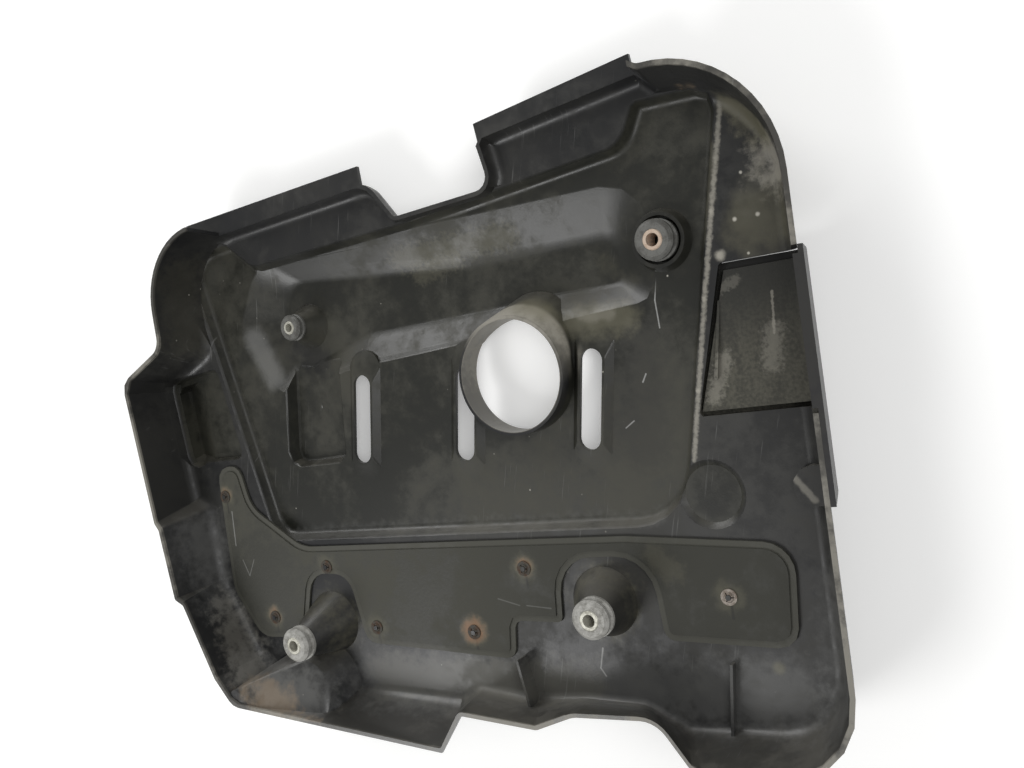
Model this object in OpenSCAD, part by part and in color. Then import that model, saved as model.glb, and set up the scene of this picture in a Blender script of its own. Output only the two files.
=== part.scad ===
/* [Cover] */
// Length of the moulding from its left bulge to its right edge
cover_l = 590; // [540:1:650]
// Width of the moulding from its lower lip to the top of its right tab
cover_w = 459; // [415:1:505]
// Wall thickness of the moulding
wall = 3; // [2.4:0.1:3.6]
// Height of the skirt above the shelf that the heat shield lies on
skirt_h = 45; // [38:1:55]
// Depth of the main panel below the shelf
panel_depth = 10; // [7:0.5:14]
// Depth of the trough and bowl below the main panel
trough_depth = 13; // [9:0.5:18]
// Height of the low wall along the two top tabs
tab_h = 11; // [8:0.5:16]
// Width of the lip along the two top tabs
tab_lip = 10; // [7:0.5:13]

/* [Filler collar] */
// Inside diameter of the round collar
collar_d = 81; // [66:1:86]
// Wall of the round collar
collar_wall = 2.4; // [2:0.1:3.5]
// Height of the collar above the main panel
collar_h = 17; // [13:1:26]

/* [Slots] */
// Width of each slot
slot_w = 16.5; // [11:0.5:18]
// Length of each slot
slot_l = 71; // [56:1:76]
// Height of the raised frame around each slot
slot_rise = 4.5; // [3.5:0.5:7]
// Width of the sloping frame around each slot
slot_frame = 7; // [5:0.5:8]
// Lean of the slots from the cover's short direction, in degrees
slot_lean = 10; // [0:1:14]

/* [Mounting posts] */
// Radius of a large grommet
grommet_r = 14; // [12.5:0.5:16]
// Height of a grommet
grommet_h = 12; // [10:0.5:15]
// Outside radius of a large sleeve
sleeve_r = 6.9; // [6:0.1:8]
// Radius of the hole in a large sleeve
bore_r = 4.4; // [3:0.1:5]
// Scale of the small grommet against the large ones
small_grommet = 0.78; // [0.7:0.01:0.9]
// Radial clearance between a sleeve and its grommet
sleeve_gap = 0.1; // [0.05:0.05:0.2]
// Height of the two tall posts above the shelf, with their grommets
tall_post_h = 45; // [36:1:52]
// Height of the bowl post above the bowl, with its grommet
bowl_post_h = 26; // [20:1:30]
// Height of the panel post above the main panel, with its grommet
panel_post_h = 17; // [15:1:24]
// Radius of a tall post at its foot
tall_foot_r = 25; // [21:0.5:27]

/* [Heat shield] */
// Thickness of the heat shield sheet
shield_t = 2; // [1.2:0.1:3]
// Height of the pressed field inside the shield's border
shield_field = 1; // [0.5:0.1:1.5]
// Width of the flat border of the shield
shield_border = 4.5; // [3:0.5:5]
// Radius of a push nut
nut_r = 5.5; // [4.5:0.1:7]
// Thickness of a push nut
nut_t = 0.8; // [0.5:0.1:1.2]
// Radius of the moulded pin that a push nut grips
pin_r = 1.8; // [1.4:0.1:2.2]
// Clearance around each pin where it passes the shield and its nut
pin_gap = 0.2; // [0.1:0.05:0.4]

/* [Side trim] */
// Thickness of the side trim
trim_t = 3; // [2.4:0.1:3.6]
// Gap between the trim's field and the window's upper edge
trim_gap_top = 5; // [3:0.5:7]
// Gap between the trim's field and the window's lower edge
trim_gap_low = 3; // [2:0.5:5]
// Gap between the trim and the moulding that it clips to
trim_seat = 0.3; // [0.2:0.05:0.5]
// Height that the trim's field stands below the shelf
trim_drop = 2; // [1:0.5:4]

/* [Hidden] */
eps = 0.01;
over = 1;
// How far a recess's flared brim runs on past the face that it opens into
lap = 0.4;
sx = cover_l / 590;
sy = cover_w / 459;
// Middle of the outline, which goes to the origin
mid = [-93.35 * sx, -36.45 * sy];

// Levels of the inner surfaces, from the lowest outer face up
z_trough = wall;
z_panel = z_trough + trough_depth;
z_shelf = z_panel + panel_depth;
z_tab = z_shelf + tab_h;
z_rim = z_shelf + skirt_h;

// Outlines run counter-clockwise as [x, y, corner radius]
rim_path = [[197, -264, 55], [201, 175, 80], [120, 175.5, 6], [106, 184, 4], [-24, 171, 7],
    [-14, 134, 10], [-100, 130, 5], [-122, 162, 24], [-340, 152, 62], [-338, 62, 14],
    [-391, 38, 14], [-378, -86, 3], [-374, -92, 2], [-367, -153, 2], [-358, -158, 2],
    [-333, -221, 4], [-316, -244, 14], [-103, -266, 2], [-82, -237, 3],
    [-20, -243, 5], [10, -232, 24], [70, -231, 20], [92, -264, 10]];
foot_path = [[185, -252, 46], [188, 166, 72], [118, 168, 6], [105, 181, 4], [-21, 168, 6],
    [-14, 131, 10], [-100, 127, 5], [-122, 159, 24], [-331, 147, 56], [-329, 56, 10],
    [-384, 32, 10], [-374, -76, 5], [-356, -84, 4], [-353, -146, 2], [-351, -156, 2],
    [-321, -216, 6], [-298, -240, 12], [-110, -247, 6], [-92, -238, 4],
    [-42, -244, 5], [-2, -241, 12], [42, -243, 18], [72, -258, 12]];
panel_path = [[91, -114, 44], [152, 163, 14], [95, 165, 4], [82, 140, 20],
    [-100, 124, 4], [-262, 118, 16], [-290, 142, 6], [-340, 138, 20], [-282, -114, 22]];
// The trough narrows from the panel down to its floor, each corner to its own
trough_top = [[90, 36, 16], [94, 120, 34], [-60, 121.8, 60], [-270, 121, 34], [-302, 62, 34],
    [-262, 8, 16], [-236, 14, 6], [-168, 20, 16]];
trough_low = [[60, 54, 8], [62, 80, 12], [-60, 80, 2], [-236, 98, 18], [-258, 64, 18],
    [-246, 34, 10], [-232, 30, 4], [-166, 50, 10]];
branch_path = [[-200, -54, 8], [-192, 34, 6], [-250, 44, 10], [-264, -54, 12]];
bulge_path = [[-306, -41, 6], [-323, 39, 6], [-381, 33, 8], [-372, -54, 12], [-352, -41, 10]];
// The bulge's floor slopes down from its middle to the foot of the skirt
bulge_top = [[-343, -38, 4], [-346, 31, 6], [-381, 27, 6], [-373, -48, 8]];
bulge_low = [[-371, -37, 1.5], [-378, 26, 1.5], [-381, 25, 2], [-373.5, -42, 2]];
window_path = [[215, -44, 1], [215, 52, 1], [138, 52, 2], [111, -44, 2]];
shield_path = [[156, -196, 14], [162, -128, 20], [46, -120, 30], [-252, -120, 34],
    [-304, -84, 30], [-312, -46, 12], [-338, -48, 13], [-340, -156, 30], [-314, -198, 20],
    [-262, -197, 8], [-246, -142, 20], [-206, -144, 18], [-196, -200, 12], [-56, -209, 8],
    [-52, -180, 6], [-12, -181, 4], [-8, -134, 28], [62, -134, 28], [66, -192, 8]];

// The posts as [x, y, foot z, tip z, foot radius, scale of the grommet, lean x, lean y]
POSTS = [[-228, 62, z_trough, z_trough + bowl_post_h, grommet_r + 5, small_grommet, 0, 0],
    [99, 74, z_panel, z_panel + panel_post_h, grommet_r + 0.5, 1, 0, 0],
    [-235, -190, z_shelf, z_shelf + tall_post_h, tall_foot_r, 1, 5, 7],
    [33, -166, z_shelf, z_shelf + tall_post_h, tall_foot_r, 1, -10, 0]];
NUTS = [[-332, -73], [-294, -180], [-227, -137], [-183, -187], [-89, -189], [-37, -141], [115, -162]];
dimple_at = [112, -95];
dimple_r = 23;
dimple_depth = 3;
bulge_depth = 6;
// Height of the ring round the panel post
socket_h = 8;
// How far the skirt's foot is rounded in, and each recess's sides slope in
foot_round = 7;
panel_slope = 7;
branch_slope = 6;
bulge_slope = 1.5;
window_low = window_path[0].y + trim_gap_low;
window_high = window_path[1].y - trim_gap_top;
SLOTS = [[-173, -20], [-74, -25], [32, -25]];
collar_at = [-23, -1];
shoulder_at = [-10, 24];
// The trim's skirt runs along the right side from trim_from to trim_to
trim_from = -98;
trim_to = 52;

function unit(v) = v / norm(v);
function place(p) = [p.x * sx - mid.x, p.y * sy - mid.y];
function shift_to(p, z = 0) = [place(p).x, place(p).y, z];

// A longer radius takes more steps, and the same corner takes the same steps on each ring
function steps(r) = r > 40 ? 13 : r > 15 ? 5 : r > 7 ? 3 : r > 2 ? 2 : 1;

function corner(p, q, s, r, n) =
    let (a = unit(p - q), b = unit(s - q), half = acos(min(1, max(-1, a * b))) / 2,
        c = q + unit(a + b) * r / sin(half), from = q + a * r / tan(half) - c,
        to = q + b * r / tan(half) - c, a0 = atan2(from.y, from.x), a1 = atan2(to.y, to.x),
        sweep = (a1 - a0 + 540) % 360 - 180)
    [for (k = [0:n]) c + r * [cos(a0 + sweep * k / n), sin(a0 + sweep * k / n)]];

function xy(p) = [p.x, p.y];

// Turns an outline of corners into points, with as many to a corner as key asks for
function rounded(path, key) =
    let (m = len(path))
    [for (i = [0:m - 1])
        each corner(xy(path[(i + m - 1) % m]), xy(path[i]), xy(path[(i + 1) % m]),
            path[i].z, steps(key[i].z))];

// Moves every side of an outline outwards by d, or inwards where d is below 0
function grown(path, d) =
    let (m = len(path))
    [for (i = [0:m - 1])
        let (q = xy(path[i]), e = unit(q - xy(path[(i + m - 1) % m])),
            f = unit(xy(path[(i + 1) % m]) - q), n = [e.y, -e.x], o = [f.y, -f.x],
            bend = e.x * f.y - e.y * f.x, at = q + d * (n + o) / (1 + n * o))
        [at.x, at.y, max(0.6, path[i].z + (bend > 0 ? d : -d))]];

// Where the panel's right side lies at a height of y
function panel_edge(y) = let (p = panel_path[0], q = panel_path[1])
    p.x + (q.x - p.x) * (y - p.y) / (q.y - p.y);

// Scales an outline and its corner radii to the cover's size and centres it
function set_out(path) = [for (p = path) [place(p).x, place(p).y, p.z * min(sx, sy)]];

function between(a, b, s) = [for (i = [0:len(a) - 1]) a[i] * (1 - s) + b[i] * s];

// A solid through a stack of outlines, each ring as [outline, z]
module loft(rings) {
    key = rings[0][0];
    n = len(rounded(key, key));
    last = len(rings) - 1;
    points = [for (r = rings) for (p = rounded(r[0], key)) [p.x, p.y, r[1]]];
    sides = [for (k = [0:last - 1]) for (i = [0:n - 1])
        let (a = k * n + i, b = k * n + (i + 1) % n) each [[a, a + n, b + n], [a, b + n, b]]];
    polyhedron(points, concat([[for (i = [0:n - 1]) i]],
        [[for (i = [n - 1:-1:0]) i + last * n]], sides));
}

// The skirt's form from its foot up to the rim, t inside the outer face, with a rounded foot
module skirt(t, bottom, top) {
    foot = set_out(foot_path);
    rim = set_out(rim_path);
    h = z_rim - z_shelf;
    loft([[grown(foot, -t - foot_round), bottom],
        [grown(between(foot, rim, 0.02), -t - 0.6 * foot_round), bottom + 0.11 * foot_round],
        [grown(between(foot, rim, 0.05), -t - 0.3 * foot_round), bottom + 0.33 * foot_round],
        [grown(between(foot, rim, 0.12), -t - 0.1 * foot_round), bottom + 0.75 * foot_round],
        [grown(between(foot, rim, 0.2), -t), bottom + 0.2 * h], [grown(rim, -t), top]]);
}

// The skirt's form without its rounded foot
module plain_skirt(t) loft([[grown(set_out(foot_path), -t), z_shelf - eps],
    [grown(set_out(rim_path), -t), z_rim + over]]);

// Clears the skirt's rounded foot away above a recess that reaches the skirt
module throat(path) intersection() {
    plain_skirt(wall);
    translate([0, 0, z_shelf + over / 2]) linear_extrude(foot_round + wall)
        polygon(rounded(grown(set_out(path), 1.6 * over), path));
}

// A recess with sloping sides: t is 0 for the hollow and the wall for its outside
module pan(path, low, high, slope, t) {
    p = set_out(path);
    loft([[grown(p, t - slope), low - t], [grown(p, t - slope * 0.6), low - t + 1.2],
        [grown(p, t - slope * 0.15), high - t - 1.2], [grown(p, t + over), high - t + lap],
        [grown(p, t + over), high - t + over]]);
}

// A deep recess with rounded edges at its floor and its brim, as shares of its slope
module soft_pan(path, low, high, slope) {
    p = set_out(path);
    loft([[grown(p, -slope), low], [grown(p, -slope * 0.62), low + 0.9],
        [grown(p, -slope * 0.36), low + 2.8], [grown(p, -slope * 0.12), high - 2.2],
        [grown(p, slope * 0.04), high - 0.7], [grown(p, slope * 0.2), high + lap],
        [grown(p, slope * 0.2), high + over]]);
}

module trough_outside() {
    top = grown(set_out(trough_top), wall);
    low = grown(set_out(trough_low), wall);
    loft([[low, 0], [between(low, top, 0.14), 1], [between(low, top, 0.92), z_panel - wall - 1.5],
        [top, z_panel - wall + over]]);
}

module trough_hollow() {
    top = set_out(trough_top);
    low = set_out(trough_low);
    loft([[low, z_trough], [between(low, top, 0.1), z_trough + 0.5],
        [between(low, top, 0.25), z_trough + 2], [between(low, top, 0.8), z_panel - 2.5],
        [between(low, top, 0.93), z_panel - 0.8], [top, z_panel + lap], [top, z_panel + over]]);
}

// The sloping floor of the bulge, t outside its inner face
module bulge_floor(t) loft([[grown(set_out(bulge_low), t), z_trough + 5 - t],
    [grown(set_out(bulge_top), t), z_shelf - bulge_depth - t + lap],
    [grown(set_out(bulge_top), t), z_shelf - bulge_depth - t + over]]);

module stadium(w, l) {
    for (s = [-1, 1]) translate([0, s * (l - w) / 2]) circle(d = w, $fn = 40);
    square([w, l - w], center = true);
}

module at_slots() for (s = SLOTS) translate(shift_to(s)) rotate(-slot_lean) children();

module slot_frames() at_slots() hull() {
    translate([0, 2, z_panel - wall])
        linear_extrude(wall) stadium(slot_w + 2 * slot_frame, slot_l + 5 * slot_frame);
    translate([0, 0, z_panel]) linear_extrude(slot_rise)
        stadium(slot_w + 4, slot_l + 6);
}

// The hollow under each slot's frame, which leaves the frame a wall as thick as the panel
module slot_undersides() at_slots() hull() {
    translate([0, 2, z_panel - wall - over])
        linear_extrude(over) stadium(slot_w + 2 * slot_frame - 3, slot_l + 5 * slot_frame - 12);
    translate([0, 0, z_panel + slot_rise - wall - over]) linear_extrude(over)
        stadium(slot_w + 1, slot_l + 1);
}

module collar_body() hull() {
    translate(shift_to(collar_at, z_panel + collar_h - 6))
        cylinder(r = collar_d / 2 + collar_wall, h = 6, $fn = 96);
    translate(shift_to(collar_at, z_trough))
        cylinder(r = collar_d / 2 + collar_wall + 1, h = 2, $fn = 96);
    translate(shift_to(shoulder_at, z_trough)) cylinder(r = collar_d / 2 - 8, h = 2, $fn = 64);
}

// A tapered hollow post, closed at its foot by the floor that it stands on
module post(p) {
    seat = p[3] - grommet_h * p[5];
    r = (grommet_r - 1) * p[5];
    difference() {
        hull() {
            translate(shift_to([p.x, p.y], seat - 4)) cylinder(r = r, h = 4, $fn = 48);
            translate(shift_to([p.x + p[6], p.y + p[7]], p.z - wall / 2)) cylinder(r = p[4], h = 1, $fn = 48);
        }
        translate(shift_to([p.x, p.y], p.z)) cylinder(r = r - wall, h = z_rim, $fn = 48);
    }
}

module panel_socket() {
    p = POSTS[1];
    difference() {
        translate(shift_to([p.x, p.y], p.z - eps))
            cylinder(r1 = grommet_r + 7, r2 = grommet_r + 4.5, h = socket_h, $fn = 48);
        translate(shift_to([p.x, p.y], p.z)) cylinder(r = grommet_r + 2, h = 2 * socket_h, $fn = 48);
    }
}

// The raised corner beside the left post, which climbs towards the lower lip
module corner_ramp() intersection() {
    skirt(wall / 2, z_shelf - wall, z_rim);
    hull() {
        translate(shift_to([-248, -235], z_shelf - 1)) cylinder(r = 37, h = 1, $fn = 64);
        translate(shift_to([-251, -238], z_shelf + 0.5 * skirt_h)) cylinder(r = 29, h = 1, $fn = 64);
        translate(shift_to([-312, -238], z_rim - 3)) cylinder(r = 8, h = 1, $fn = 24);
        translate(shift_to([-232, -284], z_rim - 3)) cylinder(r = 8, h = 1, $fn = 24);
    }
}

// The raised block at the foot of the right skirt, over the trim's clip
module clip_block() intersection() {
    skirt(wall / 2, z_shelf - wall, z_rim);
    translate([0, 0, z_shelf - 1]) linear_extrude(11)
        polygon(rounded(set_out([[172, -104, 4], [200, -104, 1], [200, -79, 1], [164, -79, 12]]),
            [[0, 0, 4], [0, 0, 1], [0, 0, 1], [0, 0, 12]]));
}

module rib(a, b, h, t) {
    p = place(a);
    q = place(b);
    translate([p.x, p.y, z_shelf - 1]) rotate(atan2(q.y - p.y, q.x - p.x))
        translate([0, -t / 2, 0]) cube([norm(q - p), t, h + 1]);
}

module shell_outside() {
    skirt(0, z_shelf - wall, z_rim);
    pan(panel_path, z_panel, z_shelf, panel_slope, wall);
    trough_outside();
    pan(branch_path, z_trough + 2, z_panel, branch_slope, wall);
    pan(bulge_path, z_shelf - bulge_depth, z_shelf, bulge_slope, wall);
    bulge_floor(wall);
    translate(shift_to(dimple_at, z_shelf - wall - dimple_depth))
        cylinder(r1 = dimple_r, r2 = dimple_r + wall, h = dimple_depth + eps, $fn = 48);
}

module shell_hollow() {
    skirt(wall, z_shelf, z_rim + over);
    soft_pan(panel_path, z_panel, z_shelf, panel_slope);
    throat(panel_path);
    throat(bulge_path);
    trough_hollow();
    pan(branch_path, z_trough + 2, z_panel, branch_slope, 0);
    pan(bulge_path, z_shelf - bulge_depth, z_shelf, bulge_slope, 0);
    bulge_floor(0);
    translate(shift_to(dimple_at, z_shelf - dimple_depth))
        cylinder(r1 = dimple_r - 4, r2 = dimple_r, h = dimple_depth + eps, $fn = 48);
}

// Takes the skirt down to the low wall of the tabs and the notch between them
module tab_cut() {
    low = shift_to([-283, 108], z_tab);
    high = shift_to([114, 215], z_rim + 2 * over);
    translate(low) cube(high - low);
}

// The flat lip outside a tab's low wall, from a to b along the outside of the wall
module lip(a, b, width) {
    p = place(a);
    q = place(b);
    inward = 5 * wall;
    translate([p.x, p.y, z_tab - wall]) rotate(atan2(q.y - p.y, q.x - p.x)) linear_extrude(wall)
        translate([0, -inward]) square([norm(q - p), inward + width]);
}

module lips() difference() {
    union() {
        lip([-319, 153], [-127, 161.8], tab_lip);
        lip([-19, 169.7], [103, 184.7], 0.8 * tab_lip);
    }
    skirt(wall, z_shelf, z_rim + over);
}

module shell_tray() {
    difference() {
        shell_outside();
        shell_hollow();
        tab_cut();
    }
    slot_frames();
    corner_ramp();
    lips();
    clip_block();
    rib([111, -206], [104, -262], 6, 2);
    rib([-48, -206], [-42, -244], 14, 2);
    for (n = NUTS) translate(shift_to(n, z_shelf - 1))
        cylinder(r = pin_r, h = shield_t + nut_t + 3.5, $fn = 24);
}

// The tray is pierced by its slots before the collar and posts are added to it
module shell() color("#2a2b2d") difference() {
    union() {
        difference() {
            shell_tray();
            at_slots() translate([0, 0, -over]) linear_extrude(z_rim) stadium(slot_w, slot_l);
            slot_undersides();
        }
        for (p = POSTS) post(p);
        panel_socket();
        // The collar goes down only as far as the outer face under it
        intersection() {
            collar_body();
            shell_outside();
        }
    }
    translate(shift_to(collar_at, -over)) cylinder(d = collar_d, h = z_rim, $fn = 96);
    translate([0, 0, -over]) linear_extrude(z_rim + 3 * over)
        polygon(rounded(set_out(window_path), window_path));
}

// The strip of the plan between two heights of y, from an x that may slope to past the edge
module band(low_y, high_y, low_x, high_x) {
    a = place([low_x, low_y]);
    b = place([high_x, high_y]);
    edge = place([240, 0]).x;
    polygon([a, [edge, a.y], [edge, b.y], b]);
}

// Seen through the window: a field between two gaps, on a pan that runs on under the shelf
module side_trim() color("#3a3a38") {
    pan_top = z_shelf - wall - 6;
    difference() {
        intersection() {
            skirt(-trim_seat - trim_t, pan_top - trim_t, z_rim);
            linear_extrude(z_rim + over)
                band(trim_from, trim_to, panel_edge(trim_from) + 2, panel_edge(trim_to) + 2);
        }
        difference() {
            intersection() {
                skirt(-trim_seat, pan_top, z_rim + over);
                translate([0, 0, pan_top]) linear_extrude(z_rim)
                    band(trim_from - over, trim_to + over, 60, 60);
            }
            linear_extrude(z_rim + 2 * over) trim_window_plan(0);
        }
        intersection() {
            skirt(wall, 0, z_rim + over);
            translate([0, 0, z_shelf - trim_drop]) linear_extrude(z_rim)
                band(window_low - over, window_high + over, 60, 60);
        }
        intersection() {
            skirt(2 * wall, 0, z_rim);
            linear_extrude(z_shelf - trim_drop - trim_t) trim_window_plan(trim_t);
        }
    }
    trim_gusset();
}

// The plan of the trim's field, t inside its edges
module trim_window_plan(t) band(window_low + t, window_high - t,
    window_path[3].x + 2 + t, window_path[2].x + 2 + t);

module trim_gusset() {
    z = z_shelf - trim_drop - 1;
    hull() {
        translate(shift_to([134, 28], z)) cylinder(r = 0.8, h = 1.2, $fn = 24);
        translate(shift_to([126, -20], z)) cylinder(r = 1.2, h = 3.5, $fn = 24);
    }
}

module heat_shield() color("#4b4a3c") {
    p = set_out(shield_path);
    difference() {
        translate([0, 0, z_shelf]) {
            linear_extrude(shield_t) polygon(rounded(p, shield_path));
            translate([0, 0, shield_t - eps]) linear_extrude(shield_field + eps)
                polygon(rounded(grown(p, -shield_border), shield_path));
        }
        for (n = NUTS) translate(shift_to(n, z_shelf - over))
            cylinder(r = pin_r + pin_gap, h = shield_t + shield_field + 2 * over, $fn = 24);
    }
}

// Two flanges with a groove between them, as a revolved profile
module grommet(i) color("#8c8c86") {
    p = POSTS[i];
    k = p[5];
    r = grommet_r;
    h = grommet_h;
    bore = sleeve_r + sleeve_gap / k;
    translate(shift_to([p.x, p.y], p[3] - h * k)) scale(k) rotate_extrude($fn = 64)
        polygon([[bore, 0], [r - 1.4, 0], [r, 0.12 * h], [r, 0.3 * h], [r - 1.8, 0.37 * h],
            [r - 1.8, 0.52 * h], [r - 0.5, 0.58 * h], [r - 0.5, 0.8 * h], [r - 1.6, 0.9 * h],
            [r - 3, h], [bore, h]]);
}

module sleeve(i) color("#b08d5f") {
    p = POSTS[i];
    k = p[5];
    h = grommet_h + 3.5;
    translate(shift_to([p.x, p.y], p[3] - (h - 0.5) * k)) scale(k) difference() {
        rotate_extrude($fn = 64)
            polygon([[0, 0], [sleeve_r, 0], [sleeve_r, h - 0.6], [sleeve_r - 0.6, h], [0, h]]);
        translate([0, 0, -over]) cylinder(r = bore_r, h = h + 2 * over, $fn = 64);
    }
}

// A pressed disc that grips its pin with an edge, slit into tongues
module push_nut(i) color("#7a4a32") {
    z = z_shelf + shield_t + shield_field;
    translate(shift_to(NUTS[i], z)) difference() {
        union() {
            cylinder(r = nut_r, h = nut_t, $fn = 40);
            cylinder(r1 = nut_r - 1.2, r2 = pin_r + 1, h = nut_t + 1, $fn = 40);
        }
        translate([0, 0, -over]) cylinder(r = pin_r + pin_gap, h = 2 * nut_r, $fn = 40);
        for (a = [0, 120, 240]) rotate(a) translate([pin_r, -0.4, -over]) cube([1.6, 0.8, 2 * nut_r]);
    }
}

shell();
side_trim();
heat_shield();
grommet(0);  // grommet_bowl
grommet(1);  // grommet_panel
grommet(2);  // grommet_left
grommet(3);  // grommet_right
sleeve(0);  // sleeve_bowl
sleeve(1);  // sleeve_panel
sleeve(2);  // sleeve_left
sleeve(3);  // sleeve_right
push_nut(0);  // push_nut_1
push_nut(1);  // push_nut_2
push_nut(2);  // push_nut_3
push_nut(3);  // push_nut_4
push_nut(4);  // push_nut_5
push_nut(5);  // push_nut_6
push_nut(6);  // push_nut_7
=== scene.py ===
import math
import bpy
from mathutils import Matrix, Vector


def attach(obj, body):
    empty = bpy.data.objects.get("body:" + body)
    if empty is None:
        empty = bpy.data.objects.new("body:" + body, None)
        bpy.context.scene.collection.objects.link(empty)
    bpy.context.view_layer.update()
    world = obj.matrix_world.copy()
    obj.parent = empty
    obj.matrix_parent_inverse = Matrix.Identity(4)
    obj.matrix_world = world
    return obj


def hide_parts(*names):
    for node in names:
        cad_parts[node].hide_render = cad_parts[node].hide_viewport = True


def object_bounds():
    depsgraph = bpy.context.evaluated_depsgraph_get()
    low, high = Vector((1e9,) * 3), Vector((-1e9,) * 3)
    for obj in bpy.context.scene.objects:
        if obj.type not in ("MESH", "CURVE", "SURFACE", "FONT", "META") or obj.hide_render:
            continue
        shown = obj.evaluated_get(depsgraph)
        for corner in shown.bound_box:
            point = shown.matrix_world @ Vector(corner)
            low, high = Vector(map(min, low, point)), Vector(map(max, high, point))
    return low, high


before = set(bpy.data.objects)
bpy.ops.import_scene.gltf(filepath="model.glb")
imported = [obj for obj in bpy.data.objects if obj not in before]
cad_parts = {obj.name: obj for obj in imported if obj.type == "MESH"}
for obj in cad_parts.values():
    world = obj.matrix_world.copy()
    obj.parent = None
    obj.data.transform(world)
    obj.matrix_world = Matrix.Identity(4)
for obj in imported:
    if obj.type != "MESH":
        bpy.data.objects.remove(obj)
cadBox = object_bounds()
mm = 0.001
print("frame loaded:", len(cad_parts), "nodes")

# Camera and studio

cameraValues = {
    "place": (440.95, 50.95, 639.7),  # mm from the part's origin
    "right": (0.8472, -0.1464, -0.5106),
    "up": (0.1097, 0.9888, -0.1016),
    "lens": 35.16,
    "sensor": 36.0,
    "farEnd": 50,
}

# Places and sizes in metres, power in watts
lampValues = {
    "upper": {"place": (-0.9, 1.5, 0.65), "size": 1.1, "power": 19},
    "low": {"place": (-0.87, -1.02, 1.3), "size": 0.8, "power": 16},
    "front": {"place": (1.25, 0.1, 1.4), "size": 1.0, "power": 14},
}

studioValues = {
    "floorColour": (0.84, 0.84, 0.83, 1),
    "floorRoughness": 0.85,
    "floorSize": 9.0,
    "seenLift": 0.26,  # light that only the camera and reflections see on the floor
    "worldColour": (1.0, 1.0, 1.0, 1),
    "worldStrength": 0.3,
}


def addCamera(values):
    bpy.ops.object.camera_add(location=[c * mm for c in values["place"]])
    camera = bpy.context.object
    camera.name = "photoView"
    camera.data.sensor_fit = 'HORIZONTAL'
    camera.data.sensor_width = values["sensor"]
    camera.data.lens = values["lens"]
    camera.data.clip_end = values["farEnd"]
    right = Vector(values["right"]).normalized()
    up = Vector(values["up"])
    up = (up - right * up.dot(right)).normalized()
    turned = Matrix((right, up, right.cross(up))).transposed().to_4x4()
    turned.translation = Vector(values["place"]) * mm
    camera.matrix_world = turned
    bpy.context.scene.camera = camera


def addLamp(name, values):
    place = Vector(values["place"])
    turn = (-place).to_track_quat('-Z', 'Y').to_euler()
    bpy.ops.object.light_add(type='AREA', location=place, rotation=turn)
    lamp = bpy.context.object
    lamp.name = name + "Lamp"
    lamp.data.size = values["size"]
    lamp.data.energy = values["power"]


# Short ways to build shader nodes


def put(tree, kind, inputs=None, **settings):
    node = tree.nodes.new(kind)
    for key, value in settings.items():
        setattr(node, key, value)
    for key, value in (inputs or {}).items():
        if isinstance(value, bpy.types.NodeSocket):
            tree.links.new(value, node.inputs[key])
        else:
            node.inputs[key].default_value = value
    return node


def calc(tree, operation, first, second, clamp=False):
    node = put(tree, "ShaderNodeMath", {0: first, 1: second}, operation=operation, use_clamp=clamp)
    return node.outputs[0]


def times(tree, first, *factors):
    for factor in factors:
        first = calc(tree, 'MULTIPLY', first, factor)
    return first


def blend(tree, first, firstShare, second, secondShare):
    return calc(tree, 'ADD', times(tree, first, firstShare), times(tree, second, secondShare))


def vectorCalc(tree, operation, first, second):
    node = put(tree, "ShaderNodeVectorMath", {0: first, 1: second}, operation=operation)
    return node.outputs[0]


def vectorLength(tree, vector):
    return put(tree, "ShaderNodeVectorMath", {0: vector}, operation='LENGTH').outputs["Value"]


def dot(tree, first, second):
    node = put(tree, "ShaderNodeVectorMath", {0: first, 1: second}, operation='DOT_PRODUCT')
    return node.outputs["Value"]


def axes(tree, vector):
    return put(tree, "ShaderNodeSeparateXYZ", {0: vector}).outputs


def noise(tree, vector, scale, detail=2.0, roughness=0.5):
    node = put(tree, "ShaderNodeTexNoise",
               {"Vector": vector, "Scale": scale, "Detail": detail, "Roughness": roughness})
    return node.outputs[0]


def mixColour(tree, factor, first, second):
    return put(tree, "ShaderNodeMix", {0: factor, 6: first, 7: second}, data_type='RGBA').outputs[2]


def remap(tree, value, low, high, outLow=0.0, outHigh=1.0):
    node = put(tree, "ShaderNodeMapRange", {0: value, 1: low, 2: high, 3: outLow, 4: outHigh},
               interpolation_type='SMOOTHSTEP')
    return node.outputs[0]


# Fades from 0 to 1 between two places in mm
def fade(tree, value, low, high, outLow=0.0, outHigh=1.0):
    return remap(tree, value, low * mm, high * mm, outLow, outHigh)


def insideBand(tree, value, low, high, soft):
    return times(tree, fade(tree, value, low - soft, low + soft),
                 fade(tree, value, high + soft, high - soft))


def startMaterial(name):
    material = bpy.data.materials.new(name)
    material.use_nodes = True
    tree = material.node_tree
    shader = tree.nodes["Principled BSDF"]
    place = put(tree, "ShaderNodeTexCoord").outputs["Object"]
    return material, tree, shader, place


def endMaterial(tree, shader, colour, roughness, height, bumpStrength):
    tree.links.new(colour, shader.inputs["Base Color"])
    tree.links.new(roughness, shader.inputs["Roughness"])
    bump = put(tree, "ShaderNodeBump", {"Height": height, "Strength": bumpStrength, "Distance": mm})
    tree.links.new(bump.outputs[0], shader.inputs["Normal"])


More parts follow.
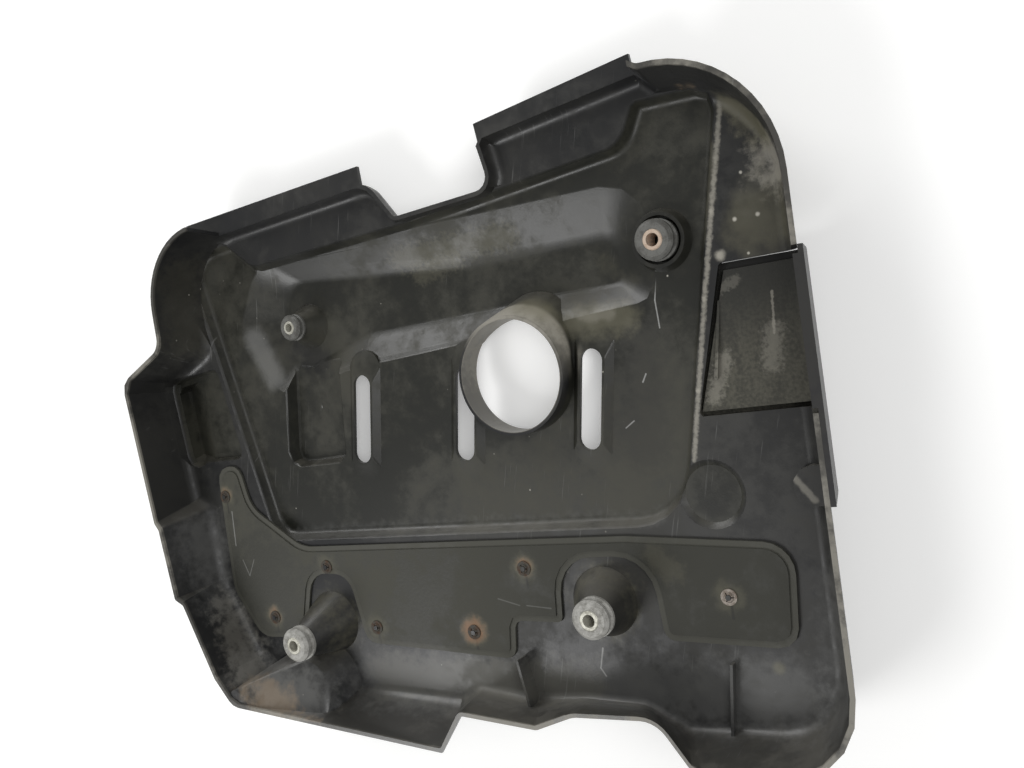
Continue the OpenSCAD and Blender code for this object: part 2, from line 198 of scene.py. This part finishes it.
def makeFloor(values):
    bpy.ops.mesh.primitive_plane_add(size=values["floorSize"], location=(0, 0, cadBox[0].z))
    floor = bpy.context.object
    floor.name = "studioFloor"
    material, tree, shader, place = startMaterial("paleFloor")
    path = put(tree, "ShaderNodeLightPath").outputs
    seen = calc(tree, 'MAXIMUM', path["Is Camera Ray"], path["Is Glossy Ray"])
    lift = times(tree, seen, values["seenLift"])
    shader.inputs["Base Color"].default_value = values["floorColour"]
    shader.inputs["Roughness"].default_value = values["floorRoughness"]
    shader.inputs["Emission Color"].default_value = (1, 1, 1, 1)
    tree.links.new(lift, shader.inputs["Emission Strength"])
    floor.data.materials.append(material)


def makeWorld(values):
    world = bpy.data.worlds.new("studioWorld")
    world.use_nodes = True
    background = world.node_tree.nodes["Background"]
    background.inputs["Color"].default_value = values["worldColour"]
    background.inputs["Strength"].default_value = values["worldStrength"]
    bpy.context.scene.world = world


bpy.context.scene.view_settings.view_transform = 'Standard'
addCamera(cameraValues)
for lampName, lampSet in lampValues.items():
    addLamp(lampName, lampSet)
makeFloor(studioValues)
makeWorld(studioValues)
print("camera and studio set")

# Effects that the finishes share, as node groups

filmValues = {
    "broadShare": 0.72,
    "fineShare": 0.28,
    "fineTimes": 9.0,  # how much finer the mottling is than the clouds
    "start": 0.72,
    "coverShare": 0.5,
    "width": 0.22,
}

grainValues = {"pitShare": 0.35, "waveTimes": 0.03}
markCore = 0.25  # how much of a mark's radius is full strength

scuffValues = {
    "stretch": (700, 22, 60),
    "line": (0.66, 0.74),
    "patchScale": 14.0,
    "patch": (0.5, 0.68),
}

fleckScales = {"coarse": 55.0, "middle": 130.0, "fine": 340.0}


def newGroup(name, inputs, outputs):
    group = bpy.data.node_groups.new(name, 'ShaderNodeTree')
    for label, kind in inputs:
        group.interface.new_socket(name=label, in_out='INPUT', socket_type='NodeSocket' + kind)
    for label, kind in outputs:
        group.interface.new_socket(name=label, in_out='OUTPUT', socket_type='NodeSocket' + kind)
    return group, put(group, "NodeGroupInput").outputs, put(group, "NodeGroupOutput").inputs


def makeFilmGroup(values):
    # Cloudy film of dust: broad clouds broken up by fine mottling
    group, given, result = newGroup("dustFilm", [("Vector", "Vector"), ("Scale", "Float"),
                                                 ("Cover", "Float")], [("Mask", "Float")])
    broad = noise(group, given["Vector"], given["Scale"], 5.0, 0.6)
    fine = noise(group, given["Vector"], times(group, given["Scale"], values["fineTimes"]), 4.0, 0.7)
    both = blend(group, broad, values["broadShare"], fine, values["fineShare"])
    start = calc(group, 'SUBTRACT', values["start"], times(group, given["Cover"], values["coverShare"]))
    end = calc(group, 'ADD', start, values["width"])
    group.links.new(remap(group, both, start, end), result["Mask"])
    return group


def makeMarkGroup():
    # A mark along a line, with an edge made ragged by Rough: a spot where Start and End are one place
    group, given, result = newGroup("mark", [("Vector", "Vector"), ("Start", "Vector"),
                                             ("End", "Vector"), ("Radius", "Float"),
                                             ("Ragged", "Float"), ("Rough", "Float")],
                                    [("Mask", "Float")])
    fromStart = vectorCalc(group, 'SUBTRACT', given["Vector"], given["Start"])
    run = vectorCalc(group, 'SUBTRACT', given["End"], given["Start"])
    share = calc(group, 'DIVIDE', dot(group, fromStart, run), dot(group, run, run), clamp=True)
    nearest = put(group, "ShaderNodeVectorMath", {0: run, "Scale": share}, operation='SCALE').outputs[0]
    far = vectorLength(group, vectorCalc(group, 'SUBTRACT', fromStart, nearest))
    wander = times(group, calc(group, 'SUBTRACT', given["Rough"], 0.5), given["Ragged"], given["Radius"])
    reach = calc(group, 'ADD', far, wander)
    core = times(group, given["Radius"], markCore)
    group.links.new(remap(group, reach, given["Radius"], core), result["Mask"])
    return group


def makeGrainGroup(values):
    # Moulded grain: small bumps over a faint unevenness of the wall
    group, given, result = newGroup("grain", [("Vector", "Vector"), ("Scale", "Float")],
                                    [("Height", "Float")])
    pits = noise(group, given["Vector"], given["Scale"], 3.0, 0.55)
    waves = noise(group, given["Vector"], times(group, given["Scale"], values["waveTimes"]))
    bumps = times(group, pits, values["pitShare"])
    group.links.new(calc(group, 'ADD', bumps, waves), result["Height"])
    return group


def makeScuffGroup(values):
    # Fine rubbed lines that run along one direction, broken into patches
    group, given, result = newGroup("scuffs", [("Vector", "Vector"), ("Turn", "Float"),
                                               ("Amount", "Float")], [("Mask", "Float")])
    turned = put(group, "ShaderNodeVectorRotate", {"Vector": given["Vector"], "Angle": given["Turn"]},
                 rotation_type='Z_AXIS').outputs[0]
    drawn = put(group, "ShaderNodeMapping", {"Vector": turned, "Scale": values["stretch"]}).outputs[0]
    thin = remap(group, noise(group, drawn, 1.0), *values["line"])
    where = remap(group, noise(group, given["Vector"], values["patchScale"], 3.0), *values["patch"])
    group.links.new(times(group, thin, where, given["Amount"]), result["Mask"])
    return group


effects = {"film": makeFilmGroup(filmValues), "mark": makeMarkGroup(),
           "grain": makeGrainGroup(grainValues), "scuffs": makeScuffGroup(scuffValues)}


def effect(tree, name, inputs):
    return put(tree, "ShaderNodeGroup", inputs, node_tree=effects[name]).outputs[0]


def line(start, end, radius, strength, colour, ragged=0.8, fleck="middle"):
    # One mark: its ends and radius in mm, how ragged its edge is and how fine its flecks are
    return {"start": start, "end": end, "radius": radius, "strength": strength, "colour": colour,
            "ragged": ragged, "fleck": fleck}


def spot(middle, radius, strength, colour, ragged=0.8, fleck="middle"):
    return line(middle, middle, radius, strength, colour, ragged, fleck)


def addMarks(tree, place, colour, marks):
    flecks = {size: noise(tree, place, scale, 5.0, 0.65) for size, scale in fleckScales.items()}
    for mark in marks:
        mask = effect(tree, "mark", {"Vector": place, "Start": [c * mm for c in mark["start"]],
                                     "End": [c * mm for c in mark["end"]],
                                     "Radius": mark["radius"] * mm, "Ragged": mark["ragged"],
                                     "Rough": flecks[mark["fleck"]]})
        colour = mixColour(tree, times(tree, mask, mark["strength"]), colour, mark["colour"])
    return colour


# Marks on the moulding

dust = (0.20, 0.187, 0.125, 1)
# Pale dust, also used for painted light and painted highlights
paleDustAndLight = (0.36, 0.34, 0.29, 1)
warmDust = (0.30, 0.22, 0.14, 1)
rust = (0.23, 0.085, 0.03, 1)
# Near-black for oily patches, also used for painted shade
oilAndShade = (0.008, 0.008, 0.008, 1)
# Grey for scratches and scuffs, also used for painted sheen highlights
scratchAndSheenGrey = (0.30, 0.30, 0.29, 1)
chipPale = (0.5, 0.48, 0.42, 1)

# Painted highlights where the lamps' sheen and reflections fall on the plastic, and painted shade where
# it lies darker
paintedSheensAndShade = [
    line((-258, -70, 45), (-240, -120, 45), 32, 0.16, scratchAndSheenGrey, 1.4),
    line((-215, -185, 45), (-150, -203, 60), 34, 0.2, scratchAndSheenGrey, 1.6),
    line((-100, -192, 30), (240, -190, 30), 34, 0.15, scratchAndSheenGrey, 1.4),
    line((272, -200, 40), (286, -120, 40), 30, 0.12, scratchAndSheenGrey, 1.4),
    line((-192, 96, 11), (-174, 58, 11), 14, 0.36, scratchAndSheenGrey, 0.5),
    line((-170, -72, 22), (165, -72, 22), 9, 0.14, scratchAndSheenGrey, 1.2),
    # Painted shade: darker patches on the panel's right side and at the dimple
    line((166, 70, 16), (158, -20, 16), 32, 0.35, oilAndShade, 1.2),
    spot((205, -58, 23), 26, 0.3, oilAndShade, 0.6),
]

patches = [
    line((-150, 80, 6), (-128, 66, 3), 17, 0.6, oilAndShade, 1.6),
    line((-28, 136, 8), (70, 137, 8), 15, 0.20, dust, 2.2, "fine"),
    line((-14, 122, 5), (20, 128, 5), 12, 0.16, dust, 2.0, "fine"),
    line((143, 104, 12), (158, 88, 14), 14, 0.14, dust, 1.2),
    line((118, 68, 17), (156, 65, 17), 18, 0.34, dust, 1.0),
    line((126, 70, 17), (146, 69, 17), 7, 0.2, paleDustAndLight, 1.2),
    line((-90, -190, 26), (90, -192, 26), 26, 0.12, dust, 1.6),
    spot((-136, -146, 26), 34, 0.3, dust, 1.2),
    spot((116, -130, 26), 34, 0.3, dust, 1.2),
    spot((116.3, -203.4, 26), 6, 0.35, dust, 0.2),
    spot((233.7, -172.6, 26), 6, 0.35, dust, 0.2),
    # Painted highlight: a pale line on the clip block's lit edge
    line((259, -43, 36), (274, -64, 36), 3, 0.4, paleDustAndLight, 1.4),
    line((100, 80, 24), (84, 88, 25), 16, 0.55, dust, fleck="coarse"),
    spot((110, 78, 19), 6, 0.6, oilAndShade, 1.8),
    spot((277, 142, 33), 25, 0.6, paleDustAndLight, 1.8),
    line((257, 187, 27), (272, 164, 30), 16, 0.5, dust, 1.6),
    spot((262, 112, 28), 34, 0.3, dust, 1.2, "coarse"),
    spot((230, 207, 31), 11, 0.5, warmDust, 2.0),
    line((236, 160, 26), (222, 110, 26), 8, 0.2, dust, 1.6),
    spot((233, 93, 27), 5, 0.8, paleDustAndLight, 1.0),
    line((-211, -199, 52), (-172, -206, 62), 21, 0.36, warmDust, 2.4, "coarse"),
    line((-160, -207, 68), (-130, -210, 70), 7, 0.4, warmDust, 2.2),
    line((-240, -130, 40), (-225, -190, 45), 24, 0.2, paleDustAndLight, 2.2),
    line((-238, 165, 45), (-238, 110, 45), 30, 0.1, dust, 1.4),
]

scratches = [
    line((185.6, 93.1, 17), (181.1, 72.3, 16), 0.7, 0.8, scratchAndSheenGrey),
    line((181.1, 72.3, 16), (181.8, 53.5, 16), 0.7, 0.8, scratchAndSheenGrey),
    line((167.2, 24.1, 16), (164.2, 19, 16), 0.9, 0.8, scratchAndSheenGrey),
    line((153.6, -6.8, 16), (146.8, -11.1, 16), 0.7, 0.7, scratchAndSheenGrey),
    line((109.5, -163, 26), (105.6, -177.4, 26), 0.8, 0.7, scratchAndSheenGrey),
    line((105.6, -177.4, 26), (109, -183, 26), 0.8, 0.7, scratchAndSheenGrey),
    line((-135.1, 66.6, 14), (-133.6, 29.4, 5), 0.6, 0.6, scratchAndSheenGrey),
]

# Chips of pale dirt: x, y and z in mm, and radius
chips = [(187.1, 151.4, 26, 0.9), (203.1, 158.9, 26, 0.8), (200.2, 140.8, 26, 0.9),
         (211.4, 150.7, 26, 1.3), (218.8, 167.6, 26, 0.9), (205.6, 143.6, 26, 0.8),
         (225.5, 122, 26, 1.2), (211.3, 100.3, 26, 1.0), (215.8, 97.7, 26, 1.0),
         (208.6, 91.2, 26, 1.2), (192.4, 86.7, 16, 1.0), (253.5, 141.2, 26, 1.5),
         (245.7, 113.5, 26, 2.0), (260.4, 113.8, 26, 2.0), (272.4, 95.3, 29, 1.2),
         (251.4, 91.2, 26, 1.3)]

# The line where the panel's side meets the shelf beside the trim, with a painted highlight along its
# rounded edge: its points in mm
creasePoints = [(249, 195.4, 25), (231.6, 121, 25), (218.9, 66.7, 25), (206.3, 9.5, 25),
                (196.9, -34.8, 25)]

# Finishes

mouldingValues = {
    "deep": (0.0095, 0.0100, 0.0110, 1),
    "worn": (0.0200, 0.0200, 0.0195, 1),
    "toneScale": 6.0,
    "toneRange": (0.35, 0.65),
    "recess": (0.0165, 0.0170, 0.0115, 1),
    "recessFade": (26, 23),  # mm; what lies lower is browner and holds more dust
    "recessShare": 0.6,
    "filmScale": 9.0,
    "filmCover": 0.6,
    "filmStrength": (0.05, 0.12),
    # Painted light on faces turned towards +Y
    "paintedLightFacing": (0.3, 0.95),
    "paintedLightFilm": (0.0, 0.8, 0.5, 1.0),
    "paintedLightStrength": 0.16,
    "creaseRadius": 2.8,
    "creaseStrength": 0.6,
    "creaseRagged": 1.3,
    "chipStrength": 0.8,
    "chipRagged": 0.6,
    "scuffTurn": 0.25,
    "scuffAmount": 0.22,
    "speckScale": 85.0,
    "speckReach": (0.075, 0.035),
    "speckStrength": 0.5,
    "swarmScale": 23.0,
    "swarmRange": (0.56, 0.64),
    "rimFade": (69, 69.6),  # mm; the land along the skirt's top is rubbed pale above it
    "rimFilm": (0.0, 0.7, 0.12, 0.5),
    "roughness": (0.34, 0.60),
    "grainScale": 900.0,
    "bump": 0.10,
}

collarValues = {
    "middle": (70.35, 35.45, 0),
    "innerFade": (41.2, 40.7),
    "innerStrength": (0.3, 0.55),
    "outerFade": (40.6, 41.2),
    "farFade": (57.2, 49.2),
    "heights": (20, 33.5),
    "heightSoft": 2,
    "lean": (0.35, 0.9),  # how far the band, dust with painted light, leans towards +X and +Y
    "sideFade": (5, 34),
    "strength": (0.6, 1.0),
    "filmFull": 0.6,
}


def addCollarDustAndLight(tree, place, colour, film, values):
    # A beige band on the collar's outside: dust, with painted light on its side towards +X and +Y, where
    # it is thickest
    off = vectorCalc(tree, 'SUBTRACT', place, [c * mm for c in values["middle"]])
    far = vectorLength(tree, vectorCalc(tree, 'MULTIPLY', off, (1, 1, 0)))
    parts = axes(tree, off)
    low, high = values["heights"]
    towardsX, towardsY = values["lean"]
    side = blend(tree, parts["Y"], towardsY, parts["X"], towardsX)
    ring = times(tree, fade(tree, far, *values["outerFade"]), fade(tree, far, *values["farFade"]),
                 insideBand(tree, parts["Z"], low, high, values["heightSoft"]),
                 fade(tree, side, *values["sideFade"]),
                 remap(tree, film, 0.0, values["filmFull"], *values["strength"]))
    colour = mixColour(tree, ring, colour, paleDustAndLight)
    # Painted light: the collar's inner wall gets a thinner, more even pale coat, standing in for light
    # that reaches it through the hole
    inner = times(tree, fade(tree, far, *values["innerFade"]),
                  remap(tree, film, 0.0, values["filmFull"], *values["innerStrength"]))
    return mixColour(tree, inner, colour, paleDustAndLight)


def addSpecks(tree, place, colour, values):
    # Tiny pale dots in loose swarms
    cells = put(tree, "ShaderNodeTexVoronoi", {"Vector": place, "Scale": values["speckScale"]})
    dots = remap(tree, cells.outputs["Distance"], *values["speckReach"])
    swarms = remap(tree, noise(tree, place, values["swarmScale"]), *values["swarmRange"])
    return mixColour(tree, times(tree, dots, swarms, values["speckStrength"]), colour, chipPale)


def finishMoulding(values):
    material, tree, shader, place = startMaterial("mouldedPlastic")
    height = axes(tree, place)["Z"]
    film = effect(tree, "film", {"Vector": place, "Scale": values["filmScale"],
                                 "Cover": values["filmCover"]})
    tone = remap(tree, noise(tree, place, values["toneScale"], 4.0), *values["toneRange"])
    base = mixColour(tree, tone, values["deep"], values["worn"])
    recess = fade(tree, height, *values["recessFade"])
    base = mixColour(tree, times(tree, recess, values["recessShare"]), base, values["recess"])
    strength = fade(tree, height, *values["recessFade"], *values["filmStrength"])
    colour = mixColour(tree, times(tree, film, strength), base, dust)
    # Painted light: faces turned towards +Y, where the light falls, are painted paler, laid on through
    # the dust film
    facing = axes(tree, put(tree, "ShaderNodeNewGeometry").outputs["Normal"])["Y"]
    paintedLightSide = times(tree, remap(tree, facing, *values["paintedLightFacing"]),
                    remap(tree, film, *values["paintedLightFilm"]), values["paintedLightStrength"])
    colour = mixColour(tree, paintedLightSide, colour, paleDustAndLight)
    colour = addCollarDustAndLight(tree, place, colour, film, collarValues)
    # Painted highlight: a pale line along the crease's rounded edge
    crease = [line(start, end, values["creaseRadius"], values["creaseStrength"], paleDustAndLight,
                   values["creaseRagged"], "fine") for start, end in zip(creasePoints, creasePoints[1:])]
    dirt = [spot(chip[:3], chip[3], values["chipStrength"], chipPale, values["chipRagged"])
            for chip in chips]
    colour = addMarks(tree, place, colour, paintedSheensAndShade + patches + crease + dirt + scratches)
    scuffs = effect(tree, "scuffs", {"Vector": place, "Turn": values["scuffTurn"],
                                     "Amount": values["scuffAmount"]})
    colour = mixColour(tree, scuffs, colour, scratchAndSheenGrey)
    colour = addSpecks(tree, place, colour, values)
    rim = times(tree, fade(tree, height, *values["rimFade"]),
                remap(tree, film, *values["rimFilm"]))
    colour = mixColour(tree, rim, colour, paleDustAndLight)
    grain = effect(tree, "grain", {"Vector": place, "Scale": values["grainScale"]})
    endMaterial(tree, shader, colour, remap(tree, film, 0.0, 1.0, *values["roughness"]), grain,
                values["bump"])
    return material


trimValues = {
    "plain": (0.014, 0.014, 0.0155, 1),
    "fieldDark": (0.016, 0.016, 0.0135, 1),
    "fieldPale": (0.086, 0.082, 0.063, 1),
    "fieldAcross": (-8, 84),  # mm; the dusty field's reach in y
    "fieldSoft": 0.6,
    "fieldTopFade": (60.5, 52.5),
    "fieldRightFade": (288, 278),
    "dirtFade": (80, 18),
    "dirtStrength": (0.06, 0.72),
    "filmScale": 24.0,
    "filmCover": 0.75,
    "filmStrength": 0.05,
    "streakStretch": (150, 45, 60),
    "streakShare": 0.45,
    "fineShare": 0.55,
    "fineScale": 420.0,
    "broken": (0.36, 0.64, 0.45, 1.15),
    "roughness": (0.42, 0.85),
    "grainScale": 700.0,
    "grainShare": (0.15, 1.0),
    "bump": 0.6,
}

trimMarks = [
    line((260, 42, 24), (256, 22, 24), 9, 0.22, paleDustAndLight, 2.4, "fine"),
    line((226, 28, 24), (216, 4, 24), 7, 0.28, paleDustAndLight, 2.4, "fine"),
    line((222, 70, 24), (240, 76, 24), 5, 0.16, paleDustAndLight, 2.4, "fine"),
    line((262, 66, 24), (260, 40, 24), 1.2, 0.4, paleDustAndLight, 2.4, "fine"),
]


def finishTrim(values):
    material, tree, shader, place = startMaterial("trimPlastic")
    parts = axes(tree, place)
    field = times(tree, insideBand(tree, parts["Y"], *values["fieldAcross"], values["fieldSoft"]),
                  fade(tree, parts["Z"], *values["fieldTopFade"]),
                  fade(tree, parts["X"], *values["fieldRightFade"]))
    film = effect(tree, "film", {"Vector": place, "Scale": values["filmScale"],
                                 "Cover": values["filmCover"]})
    drawn = put(tree, "ShaderNodeMapping", {"Vector": place, "Scale": values["streakStretch"]})
    streaks = noise(tree, drawn.outputs[0], 1.0, 4.0)
    fine = noise(tree, place, values["fineScale"], 3.0)
    colour = mixColour(tree, times(tree, film, values["filmStrength"]), values["plain"], dust)
    # The field is dark at its upper end and gathers rough pale dirt towards its lower end
    lower = fade(tree, parts["Y"], *values["dirtFade"], *values["dirtStrength"])
    broken = blend(tree, streaks, values["streakShare"], fine, values["fineShare"])
    dirt = times(tree, lower, remap(tree, broken, *values["broken"]))
    fieldColour = mixColour(tree, dirt, values["fieldDark"], values["fieldPale"])
    colour = addMarks(tree, place, mixColour(tree, field, colour, fieldColour), trimMarks)
    grain = effect(tree, "grain", {"Vector": place, "Scale": values["grainScale"]})
    height = times(tree, grain, remap(tree, field, 0.0, 1.0, *values["grainShare"]))
    endMaterial(tree, shader, colour, remap(tree, field, 0.0, 1.0, *values["roughness"]), height,
                values["bump"])
    return material


shieldValues = {
    "field": (0.0225, 0.0225, 0.0170, 1),
    "worn": (0.050, 0.049, 0.037, 1),
    "border": (0.068, 0.067, 0.054, 1),
    "top": 29,  # mm; the height of the field
    "borderFade": (28.8, 28.3),
    "borderStrength": 0.55,
    "filmScale": 14.0,
    "filmCover": 0.7,
    "filmStrength": (0.35, 1.2),
    "leftFade": (150, -120),  # mm; the left half lies in more dust than the right
    "leftStrength": (0.15, 0.85),
    "nuts": [(-238.65, -36.55), (-200.65, -143.55), (-133.65, -100.55), (-89.65, -150.55),
             (4.35, -152.55), (56.35, -104.55), (208.35, -125.55)],
    "rusty": {0: 6, 1: 7, 4: 11, 5: 6},  # which nut has stained the sheet, and how far in mm
    "haloRadius": 14,
    "haloStrength": 0.22,
    "darkBelowReach": (3, 14),  # mm below the nut
    "darkBelowRadius": 1.6,
    "darkBelowStrength": 0.45,
    "stainStrength": 0.4,
    "stainMore": 3,  # mm; how much farther the warm dust reaches than the rust
    "roughness": (0.55, 0.78),
    "grainScale": 420.0,
    "bump": 0.35,
}


def nutMarks(values):
    # A dusty halo and a dark streak below each nut, and rust round some
    marks = []
    top = values["top"]
    near, far = values["darkBelowReach"]
    strength = values["stainStrength"]
    for number, (x, y) in enumerate(values["nuts"]):
        marks.append(spot((x, y, top), values["haloRadius"], values["haloStrength"], dust, 1.0))
        marks.append(line((x + 1, y - near, top), (x + 1, y - far, top), values["darkBelowRadius"],
                          values["darkBelowStrength"], oilAndShade))
        if number in values["rusty"]:
            reach = values["rusty"][number]
            middle = (x, y + 2, top)
            marks.append(spot(middle, reach + values["stainMore"], strength, warmDust, 1.6, "coarse"))
            marks.append(spot(middle, reach, strength, rust, 1.8, "coarse"))
    return marks


shieldRubs = [
    line((30, -127, 29), (48, -132, 29), 0.7, 0.2, scratchAndSheenGrey),
    line((54, -132, 29), (74, -134, 29), 0.7, 0.2, scratchAndSheenGrey),
    line((-233.8, -50, 29), (-235.3, -80, 29), 0.9, 0.5, scratchAndSheenGrey),
    line((-229.5, -93, 29), (-224, -107, 29), 0.7, 0.3, scratchAndSheenGrey),
    line((-224, -107, 29), (-216, -93, 29), 0.7, 0.3, scratchAndSheenGrey),
    line((160, -98, 29), (172, -108, 29), 12, 0.12, dust, 1.8),
]


def finishShield(values):
    material, tree, shader, place = startMaterial("shieldSheet")
    parts = axes(tree, place)
    film = effect(tree, "film", {"Vector": place, "Scale": values["filmScale"],
                                 "Cover": values["filmCover"]})
    worn = times(tree, remap(tree, film, 0.0, 1.0, *values["filmStrength"]),
                 fade(tree, parts["X"], *values["leftFade"], *values["leftStrength"]))
    colour = mixColour(tree, worn, values["field"], values["worn"])
    border = fade(tree, parts["Z"], *values["borderFade"], 0.0, values["borderStrength"])
    colour = mixColour(tree, border, colour, values["border"])
    colour = addMarks(tree, place, colour, nutMarks(values) + shieldRubs)
    grain = effect(tree, "grain", {"Vector": place, "Scale": values["grainScale"]})
    endMaterial(tree, shader, colour, remap(tree, film, 0.0, 1.0, *values["roughness"]), grain,
                values["bump"])
    return material


# Rubber and metal: a base colour under grime that gathers in patches
plainValues = {
    "rubberPale": {"name": "paleRubber", "colour": (0.36, 0.355, 0.33, 1),
                   "grime": (0.12, 0.115, 0.10, 1), "roughness": 0.55, "metal": 0.0,
                   "scale": 120.0, "bump": 0.3},
    "rubberDark": {"name": "greyRubber", "colour": (0.13, 0.13, 0.12, 1),
                   "grime": (0.05, 0.047, 0.041, 1), "roughness": 0.5, "metal": 0.0,
                   "scale": 120.0, "bump": 0.3},
    "sleevePale": {"name": "paleSleeve", "colour": (0.55, 0.54, 0.47, 1),
                   "grime": (0.22, 0.21, 0.17, 1), "roughness": 0.4, "metal": 0.3,
                   "scale": 160.0, "bump": 0.1},
    "sleeveWarm": {"name": "warmSleeve", "colour": (0.62, 0.50, 0.40, 1),
                   "grime": (0.34, 0.24, 0.17, 1), "roughness": 0.4, "metal": 0.3,
                   "scale": 160.0, "bump": 0.1},
    "nut": {"name": "rustedNut", "colour": (0.045, 0.042, 0.034, 1),
            "grime": (0.095, 0.05, 0.028, 1), "roughness": 0.65, "metal": 0.2,
            "scale": 260.0, "bump": 0.5},
    "nutPale": {"name": "scrapedNut", "colour": (0.26, 0.23, 0.20, 1),
                "grime": (0.12, 0.085, 0.06, 1), "roughness": 0.5, "metal": 0.4,
                "scale": 200.0, "bump": 0.4},
}

grimeValues = {"cover": 0.6, "strength": 0.7, "rougher": 0.3, "grainScale": 1500.0}


def finishPlain(values, grime):
    material, tree, shader, place = startMaterial(values["name"])
    film = effect(tree, "film", {"Vector": place, "Scale": values["scale"], "Cover": grime["cover"]})
    colour = mixColour(tree, times(tree, film, grime["strength"]), values["colour"], values["grime"])
    smooth = values["roughness"]
    shader.inputs["Metallic"].default_value = values["metal"]
    grain = effect(tree, "grain", {"Vector": place, "Scale": grime["grainScale"]})
    endMaterial(tree, shader, colour, remap(tree, film, 0.0, 1.0, smooth, smooth + grime["rougher"]),
                grain, values["bump"])
    return material


finishes = {
    "moulding": finishMoulding(mouldingValues),
    "trim": finishTrim(trimValues),
    "shield": finishShield(shieldValues),
}
for finishName, plain in plainValues.items():
    finishes[finishName] = finishPlain(plain, grimeValues)
print("finishes made:", len(finishes))

# Pieces

mouldingShape = {"node": "shell", "name": "mouldedCover", "slot": "moulding", "finish": "moulding",
                 "edge": 0.5, "steps": 2, "smooth": 34}
trimShape = {"node": "side_trim", "name": "sideTrimCover", "slot": "trim", "finish": "trim",
             "edge": 0.4, "steps": 2, "smooth": 34}
shieldShape = {"node": "heat_shield", "name": "shieldPanel", "slot": "shield", "finish": "shield",
               "edge": 0.3, "steps": 2, "smooth": 34}
easeValues = {"merge": 0.02, "flat": 0.6, "smoothMore": 6, "areaWeight": 60}


def choose(piece):
    bpy.ops.object.select_all(action='DESELECT')
    piece.select_set(True)
    bpy.context.view_layer.objects.active = piece


def softenedCopy(values, ease):
    # The node's form with its loose faces merged, its edges eased and its curves shaded smooth
    choose(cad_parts[values["node"]])
    bpy.ops.object.duplicate()
    piece = bpy.context.object
    piece.name = values["name"]
    bpy.ops.object.mode_set(mode='EDIT')
    bpy.ops.mesh.select_all(action='SELECT')
    bpy.ops.mesh.remove_doubles(threshold=ease["merge"] * mm)
    bpy.ops.mesh.dissolve_limited(angle_limit=math.radians(ease["flat"]))
    bpy.ops.object.mode_set(mode='OBJECT')
    eased = piece.modifiers.new("easedEdges", 'BEVEL')
    eased.width = values["edge"] * mm
    eased.segments = values["steps"]
    eased.limit_method = 'ANGLE'
    eased.angle_limit = math.radians(values["smooth"])
    eased.use_clamp_overlap = True
    bpy.ops.object.modifier_apply(modifier="easedEdges")
    bpy.ops.object.shade_smooth_by_angle(angle=math.radians(values["smooth"] + ease["smoothMore"]))
    # Large faces set the shading of the corners they share, so flat ones look flat
    evened = piece.modifiers.new("evenShading", 'WEIGHTED_NORMAL')
    evened.weight = ease["areaWeight"]
    evened.keep_sharp = True
    bpy.ops.object.modifier_apply(modifier="evenShading")
    piece.data.materials.clear()
    piece.data.materials.append(finishes[values["finish"]])
    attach(piece, "root")
    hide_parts(values["node"])
    return piece


for shape in (mouldingShape, trimShape, shieldShape):
    made = softenedCopy(shape, easeValues)
    print(made.name, "made:", len(made.data.polygons), "faces")

kindFinishes = {"grommet": "rubberPale", "sleeve": "sleevePale", "push": "nut"}
nodeFinishes = {"grommet_bowl": "rubberDark", "grommet_panel": "rubberDark",
                "sleeve_panel": "sleeveWarm", "push_nut_7": "nutPale"}
for nodeName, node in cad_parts.items():
    kind = nodeName.split("_")[0]
    if kind in kindFinishes:
        node.data.materials.clear()
        node.data.materials.append(finishes[nodeFinishes.get(nodeName, kindFinishes[kind])])
print("nodes finished")
